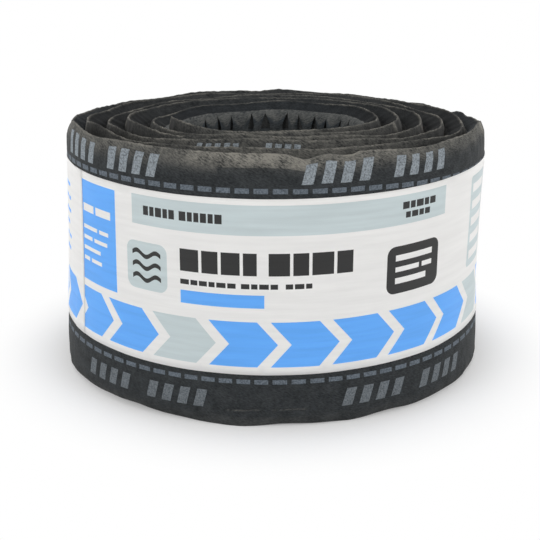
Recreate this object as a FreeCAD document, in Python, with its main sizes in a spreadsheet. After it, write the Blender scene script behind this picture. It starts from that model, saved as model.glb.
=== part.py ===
"""Roll of ridge vent: a fabric-faced vent mat wound on itself, held by a printed band.

The mat is one strip. Its section is turned through half-turns about two axes that
stand a quarter of its thickness either side of the middle, so that each half-turn
starts where the last one ended and the strip winds outwards as a true spiral, with a
cut end in the bore and another one on the outside. The roll stands on the edges of
the mat, with Z up. The outer cut end of the mat is at the back, on +Y.
"""

import FreeCAD
import Part
import Sketcher
import math
import os

# The driving dimensions, in millimetres. half_turns is a count, inner_end_angle is in degrees.
DRIVING = {
    "mat_width": 266.7,  # 10 1/2 in, the height of the roll
    "mat_thickness": 22.0,  # 9/10 in, squeezed a little by the winding
    "half_turns": 12,  # six turns, the first of them cut short
    "inner_end_angle": 100.0,  # from the start of the first turn to the inner cut end
    "bore_radius": 90.2,  # gives 5.9 m of mat, close to 20 ft
    "shoulder_width": 8.0,  # the facing's fold over the edge, across the mat
    "shoulder_height": 12.0,  # the same fold, along the roll
    "under_bevel": 6.0,  # width of the bevel along the edge on the side of the bore
    "band_height": 174.0,
    "band_bottom": 57.0,  # height of the band's lower edge
    "band_thickness": 0.3,
    "band_clearance": 0.2,  # between the mat and the band
}

# The fold is a quarter oval in two flats. They meet this share of its sizes from the faces.
FOLD_STEP = 1 - math.sqrt(0.5)
BACK_TURN = 90.0  # degrees that bring the outer cut end of the mat round to the back
HALF_TURN = 180.0

doc = FreeCAD.newDocument("ridge_vent_roll")


def make_sheet():
    """The spreadsheet with one aliased cell for each driving dimension."""
    sheet = doc.addObject("Spreadsheet::Sheet", "Sizes")
    for row, (alias, value) in enumerate(DRIVING.items(), start=1):
        sheet.set(f"A{row}", alias)
        sheet.set(f"B{row}", str(value))
        sheet.setAlias(f"B{row}", alias)
    doc.recompute()
    return sheet


def plane_of(body, role):
    """One of the body's own origin planes."""
    return next(f for f in body.Origin.OriginFeatures if f.Role == role)


def bind(sketch, name, constraint, expression):
    """Adds a named dimension to the sketch and binds it to the sheet."""
    index = sketch.addConstraint(constraint)
    sketch.renameConstraint(index, name)
    sketch.setExpression(f"Constraints.{name}", expression)


def winding_axis_sign(index):
    """The half-turns swing about two axes in turn: the first is on the minus side."""
    return -1 if index % 2 == 0 else 1


def stand_roll(body, last_index):
    """Sets the roll over the middle of its own box, with the outer cut end at the back."""
    turn = BACK_TURN * winding_axis_sign(last_index)
    body.Placement = FreeCAD.Placement(
        FreeCAD.Vector(), FreeCAD.Rotation(FreeCAD.Vector(0, 0, 1), turn)
    )
    body.setExpression("Placement.Base.x", "-Sizes.mat_thickness / 4")
    body.setExpression("Placement.Base.y", "-Sizes.mat_thickness / 4")


def draw_mat_section(sketch, inner_radius, inner_expression):
    """The mat's section: folded shoulders on its outer face, bevels on its inner one."""
    width = sizes.mat_width
    thickness = sizes.mat_thickness
    across = sizes.shoulder_width
    along = sizes.shoulder_height
    step_across = FOLD_STEP * across
    step_along = FOLD_STEP * along
    bevel = sizes.under_bevel
    outer_radius = inner_radius + thickness

    corners = [
        (inner_radius, width - along),
        (inner_radius, along),
        (inner_radius + bevel, 0),
        (outer_radius - across, 0),
        (outer_radius - step_across, step_along),
        (outer_radius, along),
        (outer_radius, width - along),
        (outer_radius - step_across, width - step_along),
        (outer_radius - across, width),
        (inner_radius + bevel, width),
    ]
    points = [FreeCAD.Vector(x, z, 0) for x, z in corners]
    edges = [
        sketch.addGeometry(Part.LineSegment(here, there))
        for here, there in zip(points, points[1:] + points[:1])
    ]
    under_face, _, low_crest, low_fold, _, facing, _, high_fold, high_crest, _ = edges

    start, end, x_axis, origin = 1, 2, -1, (-1, 1)
    rule = Sketcher.Constraint
    for edge, following in zip(edges, edges[1:] + edges[:1]):
        sketch.addConstraint(rule("Coincident", edge, end, following, start))
    for upright in (under_face, facing):
        sketch.addConstraint(rule("Vertical", upright))
    sketch.addConstraint(rule("Horizontal", high_crest))
    sketch.addConstraint(rule("PointOnObject", low_crest, start, x_axis))
    sketch.addConstraint(rule("PointOnObject", low_crest, end, x_axis))

    bind(
        sketch,
        "inner_radius",
        rule("DistanceX", *origin, under_face, end, inner_radius),
        inner_expression,
    )
    bind(
        sketch,
        "thickness",
        rule("DistanceX", under_face, end, facing, start, thickness),
        "Sizes.mat_thickness",
    )
    bind(
        sketch,
        "width",
        rule("DistanceY", low_crest, start, high_crest, end, width),
        "Sizes.mat_width",
    )
    # Each entry: name, kind, the two points it lies between, and its value with its expression.
    low_crest_in, low_crest_out = (low_crest, start), (low_crest, end)
    high_crest_in, high_crest_out = (high_crest, end), (high_crest, start)
    face_low, face_high = (facing, start), (facing, end)
    under_low, under_high = (under_face, end), (under_face, start)
    low_middle, high_middle = (low_fold, end), (high_fold, start)
    fold_across = across, "Sizes.shoulder_width"
    fold_along = along, "Sizes.shoulder_height"
    middle_across = step_across, f"{FOLD_STEP} * Sizes.shoulder_width"
    middle_along = step_along, f"{FOLD_STEP} * Sizes.shoulder_height"
    bevel_across = bevel, "Sizes.under_bevel"
    for name, kind, near, far, (value, expression) in (
        ("low_bevel_width", "DistanceX", under_low, low_crest_in, bevel_across),
        ("high_bevel_width", "DistanceX", under_high, high_crest_in, bevel_across),
        ("low_bevel_depth", "DistanceY", low_crest_in, under_low, fold_along),
        ("high_bevel_depth", "DistanceY", under_high, high_crest_in, fold_along),
        ("low_fold_width", "DistanceX", low_crest_out, face_low, fold_across),
        ("high_fold_width", "DistanceX", high_crest_out, face_high, fold_across),
        ("low_fold_depth", "DistanceY", low_crest_out, face_low, fold_along),
        ("high_fold_depth", "DistanceY", face_high, high_crest_out, fold_along),
        ("low_middle_width", "DistanceX", low_middle, face_low, middle_across),
        ("high_middle_width", "DistanceX", high_middle, face_high, middle_across),
        ("low_middle_depth", "DistanceY", low_crest_out, low_middle, middle_along),
        ("high_middle_depth", "DistanceY", high_middle, high_crest_out, middle_along),
    ):
        bind(sketch, name, rule(kind, *near, *far, value), expression)


def start_at_inner_end(sketch, turn):
    """Swings the first section round to the inner cut end and shortens its turn by as much."""
    sketch.AttachmentOffset = FreeCAD.Placement(
        sketch.AttachmentOffset.Base,
        FreeCAD.Rotation(FreeCAD.Vector(0, 1, 0), sizes.inner_end_angle),
    )
    sketch.setExpression("AttachmentOffset.Rotation.Angle", "Sizes.inner_end_angle")
    turn.setExpression("Angle", f"{HALF_TURN} - Sizes.inner_end_angle")


def make_vent_roll():
    """The wound mat: one half-turn of its section after another, from the bore outwards."""
    body = doc.addObject("PartDesign::Body", "VentRoll")
    body.Label = "vent_mat_roll"
    for index in range(half_turns):
        sketch = body.newObject("Sketcher::SketchObject", f"MatSection{index}")
        sketch.AttachmentSupport = (plane_of(body, "XZ_Plane"), "")
        sketch.MapMode = "FlatFace"
        sign = winding_axis_sign(index)
        sketch.setExpression(
            "AttachmentOffset.Base.x", f"{sign} * Sizes.mat_thickness / 4"
        )
        draw_mat_section(
            sketch,
            sizes.bore_radius + index * sizes.mat_thickness / 2,
            f"Sizes.bore_radius + {index} * Sizes.mat_thickness / 2",
        )
        turn = body.newObject("PartDesign::Revolution", f"HalfTurn{index}")
        turn.Profile = sketch
        turn.ReferenceAxis = (sketch, ["V_Axis"])
        turn.Angle = HALF_TURN
        turn.Reversed = sign > 0
        if index == 0:
            start_at_inner_end(sketch, turn)
        doc.recompute()
    stand_roll(body, half_turns - 1)
    return body


def draw_band_outline(sketch, name, offset, offset_expression):
    """One closed line round the roll: two half-turns, and straight over the outer cut end."""
    quarter = sizes.mat_thickness / 4
    last = half_turns - 1
    sign = winding_axis_sign(last)
    big_radius = sizes.bore_radius + (last / 2 + 1) * sizes.mat_thickness + offset
    small_radius = big_radius - sizes.mat_thickness / 2
    tangent_angle = math.acos(small_radius / (big_radius + 2 * quarter))

    def arc(centre_x, radius, from_angle, to_angle):
        circle = Part.Circle(
            FreeCAD.Vector(centre_x, 0, 0), FreeCAD.Vector(0, 0, 1), radius
        )
        return sketch.addGeometry(Part.ArcOfCircle(circle, from_angle, to_angle))

    # The cut end is on the plus side after an even count and on the minus side after an odd one.
    side = 0 if sign > 0 else math.pi
    last_turn = arc(sign * quarter, big_radius, side + math.pi, side + 2 * math.pi)
    turn_below = arc(-sign * quarter, small_radius, side + tangent_angle, side + math.pi)
    touch = FreeCAD.Vector(
        -sign * quarter + sign * small_radius * math.cos(tangent_angle),
        sign * small_radius * math.sin(tangent_angle),
        0,
    )
    cut_end = FreeCAD.Vector(sign * (quarter + big_radius), 0, 0)
    bridge = sketch.addGeometry(Part.LineSegment(cut_end, touch))

    start, end, centre, x_axis, origin = 1, 2, 3, -1, (-1, 1)
    rule = Sketcher.Constraint
    sketch.addConstraint(rule("Coincident", last_turn, end, bridge, start))
    sketch.addConstraint(rule("Tangent", bridge, end, turn_below, start))
    sketch.addConstraint(rule("Coincident", turn_below, end, last_turn, start))
    for curve, point in ((last_turn, centre), (turn_below, centre), (last_turn, end)):
        sketch.addConstraint(rule("PointOnObject", curve, point, x_axis))
    first, second = (turn_below, last_turn) if sign > 0 else (last_turn, turn_below)
    bind(
        sketch,
        f"{name}_minus_axis",
        rule("DistanceX", first, centre, *origin, quarter),
        "Sizes.mat_thickness / 4",
    )
    bind(
        sketch,
        f"{name}_plus_axis",
        rule("DistanceX", *origin, second, centre, quarter),
        "Sizes.mat_thickness / 4",
    )
    bind(
        sketch,
        f"{name}_radius",
        rule("Radius", last_turn, big_radius),
        f"Sizes.bore_radius + {last / 2 + 1} * Sizes.mat_thickness + {offset_expression}",
    )
    sketch.addConstraint(rule("PointOnObject", last_turn, start, x_axis))


def make_label_band():
    """The printed band: a thin sleeve round the last turn, stretched over its cut end."""
    body = doc.addObject("PartDesign::Body", "LabelBand")
    body.Label = "label_band"
    sketch = body.newObject("Sketcher::SketchObject", "BandOutline")
    sketch.AttachmentSupport = (plane_of(body, "XY_Plane"), "")
    sketch.MapMode = "FlatFace"
    sketch.setExpression("AttachmentOffset.Base.z", "Sizes.band_bottom")
    draw_band_outline(
        sketch, "inside", sizes.band_clearance, "Sizes.band_clearance"
    )
    draw_band_outline(
        sketch,
        "outside",
        sizes.band_clearance + sizes.band_thickness,
        "Sizes.band_clearance + Sizes.band_thickness",
    )
    pad = body.newObject("PartDesign::Pad", "BandHeight")
    pad.Profile = sketch
    pad.setExpression("Length", "Sizes.band_height")
    doc.recompute()
    stand_roll(body, half_turns - 1)
    return body


def check_and_write(bodies):
    """Stops on any failed object, then writes each sub-part to its own file."""
    doc.recompute()
    for item in doc.Objects:
        if "Invalid" in item.State or "Error" in item.State:
            raise RuntimeError(f"{item.Label} failed: {item.State}")
    for body in bodies:
        shape = body.Shape
        if shape.isNull() or not shape.isValid() or len(shape.Solids) != 1:
            raise RuntimeError(f"{body.Label} is not one valid solid")
    os.makedirs("parts", exist_ok=True)
    for body in bodies:
        body.Shape.exportStep(f"parts/{body.Label}.step")
        box = body.Shape.BoundBox
        print(
            f"{body.Label}: {box.XLength:.1f} x {box.YLength:.1f} x {box.ZLength:.1f} mm,"
            f" {body.Shape.Volume / 1000:.1f} cm3, {len(body.Shape.Faces)} faces"
        )


sizes = make_sheet()
half_turns = int(sizes.half_turns)
roll = make_vent_roll()
band = make_label_band()
check_and_write([roll, band])
middle_radius = sizes.bore_radius + (half_turns + 1) * sizes.mat_thickness / 4
cut_short = math.radians(sizes.inner_end_angle) * (sizes.bore_radius + sizes.mat_thickness / 2)
print(f"mat wound up: {half_turns * math.pi * middle_radius - cut_short:.0f} mm")
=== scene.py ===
# %% [markdown]
# # A roll of ridge vent, dressed over its CAD model
# The real thing is a long springy mat of black nylon filament, faced with dark nonwoven
# fabric and wound into a roll that stands on its edge. A printed paper band holds it.
# The CAD model gives the size and the winding. This script puts the soft parts over it:
# folded fabric edges, loose filament in the bore, and the print on the band.

# %% Load the frame
import math

import bpy
import numpy as np
from mathutils.geometry import delaunay_2d_cdt
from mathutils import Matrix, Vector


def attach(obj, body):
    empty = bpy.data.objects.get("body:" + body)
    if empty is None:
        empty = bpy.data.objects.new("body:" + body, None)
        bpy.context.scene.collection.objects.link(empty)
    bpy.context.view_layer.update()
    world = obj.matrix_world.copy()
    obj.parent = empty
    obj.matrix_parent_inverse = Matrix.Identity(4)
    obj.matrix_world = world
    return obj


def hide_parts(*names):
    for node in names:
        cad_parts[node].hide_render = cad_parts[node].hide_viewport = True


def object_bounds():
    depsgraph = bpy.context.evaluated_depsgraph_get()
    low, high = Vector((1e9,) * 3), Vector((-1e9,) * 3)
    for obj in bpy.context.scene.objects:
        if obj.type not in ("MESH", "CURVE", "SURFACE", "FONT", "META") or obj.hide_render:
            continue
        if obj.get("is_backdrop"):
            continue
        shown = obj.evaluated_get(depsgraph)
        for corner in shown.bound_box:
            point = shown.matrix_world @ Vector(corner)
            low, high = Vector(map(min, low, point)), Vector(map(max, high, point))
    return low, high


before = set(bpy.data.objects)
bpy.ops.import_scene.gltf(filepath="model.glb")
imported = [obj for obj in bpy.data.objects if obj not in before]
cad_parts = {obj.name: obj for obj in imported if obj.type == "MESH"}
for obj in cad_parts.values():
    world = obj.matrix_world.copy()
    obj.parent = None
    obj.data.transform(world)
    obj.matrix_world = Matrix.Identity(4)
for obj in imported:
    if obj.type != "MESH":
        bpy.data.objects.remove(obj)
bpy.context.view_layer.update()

MM = 0.001
rng = np.random.default_rng(20)

# %% [markdown]
# ## Small helpers for materials
# Colours are written as the eye and a paint program see them, as sRGB hex values, and one
# function turns them into the linear values that a shader works with. Another function adds
# a node to a material, with its settings and its links, so that each material below reads
# as a short recipe. A third starts a material with no nodes in it.


# %% Colour and node helpers
def linear(hex_value):
    """An sRGB hex colour as linear red, green, blue and alpha."""
    parts = [int(hex_value[i : i + 2], 16) / 255 for i in (1, 3, 5)]
    flat = [c / 12.92 if c <= 0.04045 else ((c + 0.055) / 1.055) ** 2.4 for c in parts]
    return (*flat, 1.0)


def node(tree, kind, settings=None, links=None, values=None):
    """Adds a node: attributes, then links by input name, then plain input values."""
    made = tree.nodes.new(kind)
    for name, value in (settings or {}).items():
        setattr(made, name, value)
    for name, source in (links or {}).items():
        tree.links.new(source, made.inputs[name])
    for name, value in (values or {}).items():
        made.inputs[name].default_value = value
    return made


def new_material(name):
    """A material with no nodes yet, and its node tree."""
    material = bpy.data.materials.new(name)
    material.use_nodes = True
    material.node_tree.nodes.clear()
    return material, material.node_tree


# %% [markdown]
# ## The fabric
# The facing is a spunbonded polypropylene nonwoven: fine fibres laid down at random and
# pressed together hot. It is matt, nearly black, and slightly furry, so it lightens at a
# glancing angle, which is what a shader's sheen does. The hem folded over each edge is a
# browner layer, rubbed pale along its fold. The mesh carries how much of the hem and of its
# wear is at each point, with painted light and painted shade added in places, and the material
# mixes in a brown-grey by it. It also carries painted shade: a black painted between the turns,
# where they shade each other. The backing, on the inner side of the mat, is duller: it has less
# shine and hardly any fur.
#
# The web is laid on the flat strip before it is wound, so its patterns are drawn there too: the
# mesh carries each point's place on the flat strip, along it and across it. The fibres lie
# aslant, so their noise is turned and stretched, and shallow upright wrinkles are a noise
# stretched across the strip.

# %% Spunbonded fabric
FIBRE_MM = (3.4, 1.2)  # real fibres are 0.02 mm thick; drawn as clumps this long and wide to show
FIBRE_TURN, FIBRE_DEEP = math.radians(24), 0.4  # the way they lie on the strip, and their relief
CLOUD_MM = 14.0  # thick and thin patches of the web
WRINKLE_MM, WRINKLE_DEEP = (8.0, 36.0), 1.0  # width, length and depth of the wrinkles
WEB_THIN, WEB_THICK = 0.38, 0.62  # values of the noise where the web is thin and where it is thick
# the hem's brown, the black painted between the turns as painted shade, and the sheen's tint
HEM_BROWN, BETWEEN_TURNS_SHADE_BLACK, FUR_TINT = linear("#88857d"), linear("#0c0d0e"), linear("#c8c4bb")
FACTOR, FIRST, SECOND, MIXED = 0, 6, 7, 2  # a mix node's colour sockets, by number: names repeat


def spunbonded(name, dark, light, shine, fur):
    """Nonwoven fabric between a dark and a light tone, browner where the mesh marks wear and painted
    light, and blacker where it marks painted shade.
    """
    material, tree = new_material(name)
    strip = node(tree, "ShaderNodeAttribute", {"attribute_name": "on_strip"})
    laid = node(
        tree,
        "ShaderNodeMapping",
        {"vector_type": "TEXTURE"},
        {"Vector": strip.outputs["Vector"]},
        {"Rotation": (0, 0, FIBRE_TURN), "Scale": (FIBRE_MM[0] * MM, FIBRE_MM[1] * MM, 1)},
    )
    fibres = node(
        tree,
        "ShaderNodeTexNoise",
        links={"Vector": laid.outputs["Vector"]},
        values={"Scale": 1.0, "Detail": 3.0, "Roughness": 0.65},
    )
    clouds = node(
        tree,
        "ShaderNodeTexNoise",
        links={"Vector": strip.outputs["Vector"]},
        values={"Scale": 1 / (CLOUD_MM * MM), "Detail": 4.0, "Roughness": 0.6},
    )
    web = node(
        tree,
        "ShaderNodeMix",
        {"data_type": "FLOAT"},
        {"A": fibres.outputs["Fac"], "B": clouds.outputs["Fac"]},
        {"Factor": 0.4},
    )
    tone = node(tree, "ShaderNodeValToRGB", links={"Fac": web.outputs["Result"]})
    for end, place, colour in ((0, WEB_THIN, dark), (1, WEB_THICK, light)):
        tone.color_ramp.elements[end].position = place
        tone.color_ramp.elements[end].color = linear(colour)
    broken = node(
        tree,
        "ShaderNodeMapRange",
        links={"Value": web.outputs["Result"]},
        values={"From Min": WEB_THIN, "From Max": WEB_THICK, "To Min": 0.1, "To Max": 1.4},
    )
    # wear, with painted light and painted shade in it, mixes in the hem's brown
    wear_painted_light_and_shade = node(tree, "ShaderNodeAttribute", {"attribute_name": "wear_painted_light_and_shade"})
    patchy = node(
        tree,
        "ShaderNodeMath",
        {"operation": "MULTIPLY", "use_clamp": True},
        {0: wear_painted_light_and_shade.outputs["Fac"], 1: broken.outputs["Result"]},
    )
    # painted shade: the tone is mixed towards black where the mesh marks it
    painted_shade = node(tree, "ShaderNodeAttribute", {"attribute_name": "painted_shade"})
    black = node(
        tree,
        "ShaderNodeMix",
        {"data_type": "RGBA"},
        {FACTOR: painted_shade.outputs["Fac"], FIRST: tone.outputs["Color"]},
        {SECOND: BETWEEN_TURNS_SHADE_BLACK},
    )
    hem = node(
        tree,
        "ShaderNodeMix",
        {"data_type": "RGBA"},
        {FACTOR: patchy.outputs["Value"], FIRST: black.outputs[MIXED]},
        {SECOND: HEM_BROWN},
    )
    upright = node(
        tree,
        "ShaderNodeMapping",
        {"vector_type": "TEXTURE"},
        {"Vector": strip.outputs["Vector"]},
        {"Scale": (WRINKLE_MM[0] * MM, WRINKLE_MM[1] * MM, 1)},
    )
    wrinkles = node(
        tree,
        "ShaderNodeTexNoise",
        links={"Vector": upright.outputs["Vector"]},
        values={"Scale": 1.0, "Detail": 2.0, "Roughness": 0.5},
    )
    folds = node(
        tree,
        "ShaderNodeBump",
        links={"Height": wrinkles.outputs["Fac"]},
        values={"Strength": 0.5, "Distance": WRINKLE_DEEP * MM},
    )
    relief = node(
        tree,
        "ShaderNodeBump",
        links={"Height": fibres.outputs["Fac"], "Normal": folds.outputs["Normal"]},
        values={"Strength": 0.45, "Distance": FIBRE_DEEP * MM},
    )
    shader = node(
        tree,
        "ShaderNodeBsdfPrincipled",
        links={"Base Color": hem.outputs[MIXED], "Normal": relief.outputs["Normal"]},
        values={
            "Roughness": 0.92,
            "IOR": 1.49,
            "Specular IOR Level": shine,
            "Sheen Weight": fur,
            "Sheen Roughness": 0.45,
            "Sheen Tint": FUR_TINT,
        },
    )
    node(tree, "ShaderNodeOutputMaterial", links={"Surface": shader.outputs["BSDF"]})
    return material


fabric = spunbonded("nonwoven polypropylene facing, spunbonded", "#1e2123", "#3b3e40", 0.25, 0.06)
backing = spunbonded("nonwoven polypropylene backing, spunbonded", "#1b1e20", "#36393c", 0.12, 0.01)
flap_fabric = spunbonded("nonwoven polypropylene flap, spunbonded", "#272c2f", "#464c51", 0.25, 0.06)
print("fabrics:", [f.name for f in (fabric, backing, flap_fabric)])

# %% [markdown]
# ## Nylon filament, paper and inks
# The core is black nylon melt-spun into loops as thick as a fishing line, so each loop has a
# small soft highlight. The band is coated paper: white, with a faint sheen and shallow
# ripples. The inks are flat areas of colour on that same paper, so each one keeps the
# paper's surface and changes only its colour.

# %% Nylon filament
STREAK_MM = 6.0  # length over which the gloss of a strand changes
filament, tree = new_material("black nylon filament, melt-spun")
where = node(tree, "ShaderNodeTexCoord")
strands = node(
    tree,
    "ShaderNodeTexNoise",
    links={"Vector": where.outputs["Object"]},
    values={"Scale": 1 / (STREAK_MM * MM), "Detail": 2.0},
)
gloss = node(
    tree,
    "ShaderNodeMapRange",
    links={"Value": strands.outputs["Fac"]},
    values={"To Min": 0.32, "To Max": 0.6},
)
shader = node(
    tree,
    "ShaderNodeBsdfPrincipled",
    links={"Roughness": gloss.outputs["Result"]},
    values={"Base Color": linear("#44494c"), "IOR": 1.53},
)
node(tree, "ShaderNodeOutputMaterial", links={"Surface": shader.outputs["BSDF"]})
print("core:", filament.name)

# %% Coated paper and the inks on it
RIPPLE_MM, RIPPLE_DEEP = (70.0, 70.0, 5.0), 0.8  # they run round the band, close together in height


def printed_paper(name, colour, mottle):
    """Coated paper under one flat ink, with a little unevenness in the ink."""
    material, tree = new_material(name)
    where = node(tree, "ShaderNodeTexCoord")
    stretched = node(
        tree,
        "ShaderNodeMapping",
        links={"Vector": where.outputs["Object"]},
        values={"Scale": tuple(1 / (size * MM) for size in RIPPLE_MM)},
    )
    ripples = node(
        tree,
        "ShaderNodeTexNoise",
        links={"Vector": stretched.outputs["Vector"]},
        values={"Scale": 1.0, "Detail": 2.0, "Roughness": 0.45},
    )
    mottled = node(
        tree,
        "ShaderNodeMapRange",
        links={"Value": ripples.outputs["Fac"]},
        values={"From Min": 0.3, "From Max": 0.7, "To Min": 1 - mottle, "To Max": 1 + mottle},
    )
    inked = node(
        tree,
        "ShaderNodeHueSaturation",
        links={"Value": mottled.outputs["Result"]},
        values={"Color": linear(colour)},
    )
    relief = node(
        tree,
        "ShaderNodeBump",
        links={"Height": ripples.outputs["Fac"]},
        values={"Strength": 0.6, "Distance": RIPPLE_DEEP * MM},
    )
    shader = node(
        tree,
        "ShaderNodeBsdfPrincipled",
        links={"Base Color": inked.outputs["Color"], "Normal": relief.outputs["Normal"]},
        values={"Roughness": 0.5, "IOR": 1.5, "Specular IOR Level": 0.35},
    )
    node(tree, "ShaderNodeOutputMaterial", links={"Surface": shader.outputs["BSDF"]})
    return material


inks = {
    "white": printed_paper("coated paper, bare", "#efeeec", 0.03),
    "grey": printed_paper("coated paper, grey offset ink", "#c8d4d6", 0.05),
    "blue": printed_paper("coated paper, blue offset ink", "#65afff", 0.05),
    "dark": printed_paper("coated paper, black offset ink", "#262626", 0.1),
}
print("papers:", [m.name for m in inks.values()])

# %% [markdown]
# Grey ink on the fabric soaks in between the fibres, so it is broken up by them. It is
# drawn as a thin layer just over the facing, with the fabric's own fibres showing through.
# The bars carry more ink than the dashes, so they are paler, the upper ones most.


# %% Grey ink on the fabric
SOAK_MM, SOAK_DEEP = 1.6, 0.25  # size of the gaps in the ink, coarser than real so that they show
SOAK_GAP, SOAK_FIBRE = 0.34, 0.6  # values of the noise in the gaps and on the fibres


def soaked_ink(name, dark, light):
    """Ink on the nonwoven, between its tone in the gaps and its tone on the fibres."""
    material, tree = new_material(name)
    where = node(tree, "ShaderNodeTexCoord")
    fibres = node(
        tree,
        "ShaderNodeTexNoise",
        links={"Vector": where.outputs["Object"]},
        values={"Scale": 1 / (SOAK_MM * MM), "Detail": 3.0, "Roughness": 0.65},
    )
    soaked = node(tree, "ShaderNodeValToRGB", links={"Fac": fibres.outputs["Fac"]})
    for end, place, colour in ((0, SOAK_GAP, dark), (1, SOAK_FIBRE, light)):
        soaked.color_ramp.elements[end].position = place
        soaked.color_ramp.elements[end].color = linear(colour)
    relief = node(
        tree,
        "ShaderNodeBump",
        links={"Height": fibres.outputs["Fac"]},
        values={"Strength": 0.3, "Distance": SOAK_DEEP * MM},
    )
    shader = node(
        tree,
        "ShaderNodeBsdfPrincipled",
        links={"Base Color": soaked.outputs["Color"], "Normal": relief.outputs["Normal"]},
        values={"Roughness": 0.85, "IOR": 1.49, "Specular IOR Level": 0.25},
    )
    node(tree, "ShaderNodeOutputMaterial", links={"Surface": shader.outputs["BSDF"]})
    return material


full_ink = soaked_ink("grey flexographic ink on nonwoven fabric, full", "#5f656a", "#99a1a7")
half_ink = soaked_ink("grey flexographic ink on nonwoven fabric, half", "#4d5255", "#757b80")
thin_ink = soaked_ink("grey flexographic ink on nonwoven fabric, thin", "#474d53", "#6e7780")
print("inks on fabric:", [ink.name for ink in (full_ink, half_ink, thin_ink)])

# %% [markdown]
# ## The winding
# The mat is one strip. Each half-turn swings about one of two axes a quarter of the mat's
# thickness from the middle, so every half-turn starts where the last one ended and the
# strip winds outwards by one thickness a turn. A point on it is given by the angle wound
# from the back, its depth from the underside and its height. The inner cut end is at the
# left of the bore, the outer one at the back.

# %% Points on the winding
WIDTH, THICK, BORE, HALF_TURNS = 266.7, 22.0, 90.2, 12
HEAD = math.radians(100)  # angle of the inner cut end
TAIL = HALF_TURNS * math.pi  # angle of the outer cut end
FRONT = TAIL - math.pi  # angle of the front of the last turn
LAST_STARTS = TAIL - 2 * math.pi  # angle at which the last turn starts


def winding(angle, depth):
    """Plan position in mm at a wound angle and a depth from the mat's underside."""
    half = np.clip(np.floor(angle / math.pi), 0, HALF_TURNS - 1)
    axis = np.where(half % 2 == 0, -1, 1) * THICK / 4
    radius = BORE + half * THICK / 2 + depth
    along, across = axis + radius * np.cos(angle), radius * np.sin(angle)
    return -across - THICK / 4, along - THICK / 4


def length_wound(angle):
    """Length of mat in mm from the angle 0, on its middle line."""
    turns = angle / (2 * math.pi)
    return 2 * math.pi * turns * (BORE + THICK / 4) + math.pi * THICK * turns**2


print("mat length:", round(length_wound(TAIL) - length_wound(HEAD)), "mm")

# %% [markdown]
# ## The mat's folded edges
# The fabric wraps round each long edge of the mat. Seen along the strip, the facing leans in
# near the edge, turns over a sharp fold and slopes down the other side to the underside. The
# section is a closed line of points (depth, height), the same at both edges, and it is drawn
# finely where it shows.

# %% Section of the mat
# depth from the underside and distance below the rim, in mm, from the underside over to the facing
EDGE = np.array(
    [
        (1.4, 60), (1.4, 36), (0.7, 28), (0.8, 21), (1.5, 16.0), (3.0, 12.6), (5.2, 10.0),
        (7.8, 7.8), (10.4, 5.8), (12.4, 4.2), (13.8, 2.8), (14.6, 1.2), (15.1, 0.25),
        (15.7, 0.0), (16.3, 0.45), (17.0, 1.7), (17.9, 3.8), (18.9, 6.2), (19.7, 8.4),
        (20.2, 9.8), (20.4, 10.4), (20.6, 11.0), (20.9, 13.0), (21.3, 17.0), (21.7, 21),
        (22.0, 27), (22.0, 36), (22.0, 100),
    ]
)  # fmt: skip
RIDGE = int(np.argmin(EDGE[:, 1]))  # the fold at the top, where the fabric turns over
HEM_EDGE = 20  # where the hem ends on the facing side
HEM_BELOW = EDGE[HEM_EDGE, 1]
top = np.c_[EDGE[:, 0], WIDTH - EDGE[:, 1]]
foot = np.c_[EDGE[::-1, 0], EDGE[::-1, 1]]
SECTION = np.r_[top, foot]
print("points round the section:", len(SECTION))

# %% [markdown]
# ## Why no turn is even
# Soft fabric never stands level. The rims wander up and down and in and out along the strip,
# and the folded fabric puckers because it is gathered round a curve. Each of these is a sum
# of a few sine waves with random lengths, which repeats nowhere and is the same every run.


# %% Uneven waves along the strip
def waves(along, shortest, longest, count, height):
    """A sum of sine waves with random lengths between two limits, of about this height."""
    lengths = rng.uniform(shortest, longest, count)
    phases = rng.uniform(0, 2 * math.pi, count)
    total = sum(np.sin(2 * math.pi * along / l + p) for l, p in zip(lengths, phases))
    return total * height / math.sqrt(count)


TABLE_STEPS = 12001
RUB_MEAN, RUB_RANGE = 0.62, (0.08, 1.1)  # how pale the fold is rubbed
table_angle = np.linspace(0, TAIL, TABLE_STEPS)
table_length = length_wound(table_angle)
# shortest and longest wave in mm, number of waves, and height in mm
UNEVEN = {
    "rise": waves(table_length, 70, 420, 7, 1.2) + waves(table_length, 9, 24, 7, 0.28),
    "lean": waves(table_length, 60, 300, 7, 0.8) + waves(table_length, 12, 30, 5, 0.2),
    "pucker_out": waves(table_length, 12, 40, 9, 0.45),
    "pucker_in": waves(table_length, 15, 38, 9, 0.75),
    "foot_rise": np.abs(waves(table_length, 40, 260, 7, 0.9)),
    "foot_lean": waves(table_length, 40, 220, 7, 0.8),
    "wall": waves(table_length, 120, 420, 5, 0.25),
    "rub": np.clip(RUB_MEAN + waves(table_length, 14, 130, 11, 0.42), *RUB_RANGE),
}


def uneven(name, angle):
    """One of these at any angle wound."""
    return np.interp(angle, table_angle, UNEVEN[name])


# %% [markdown]
# A few dents are big enough to notice, so they are listed one by one: the sag in the front rim,
# the corners where the outer rim turns down at the sides, kinks at the right and the back,
# and the droop of the loose outer end. Each one is a smooth bump along the strip.


# %% Dents listed one by one
def bump(place, middle, half_width):
    """A smooth bump, 1 high at its middle."""
    return np.exp(-(((place - middle) / half_width) ** 2))


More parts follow.
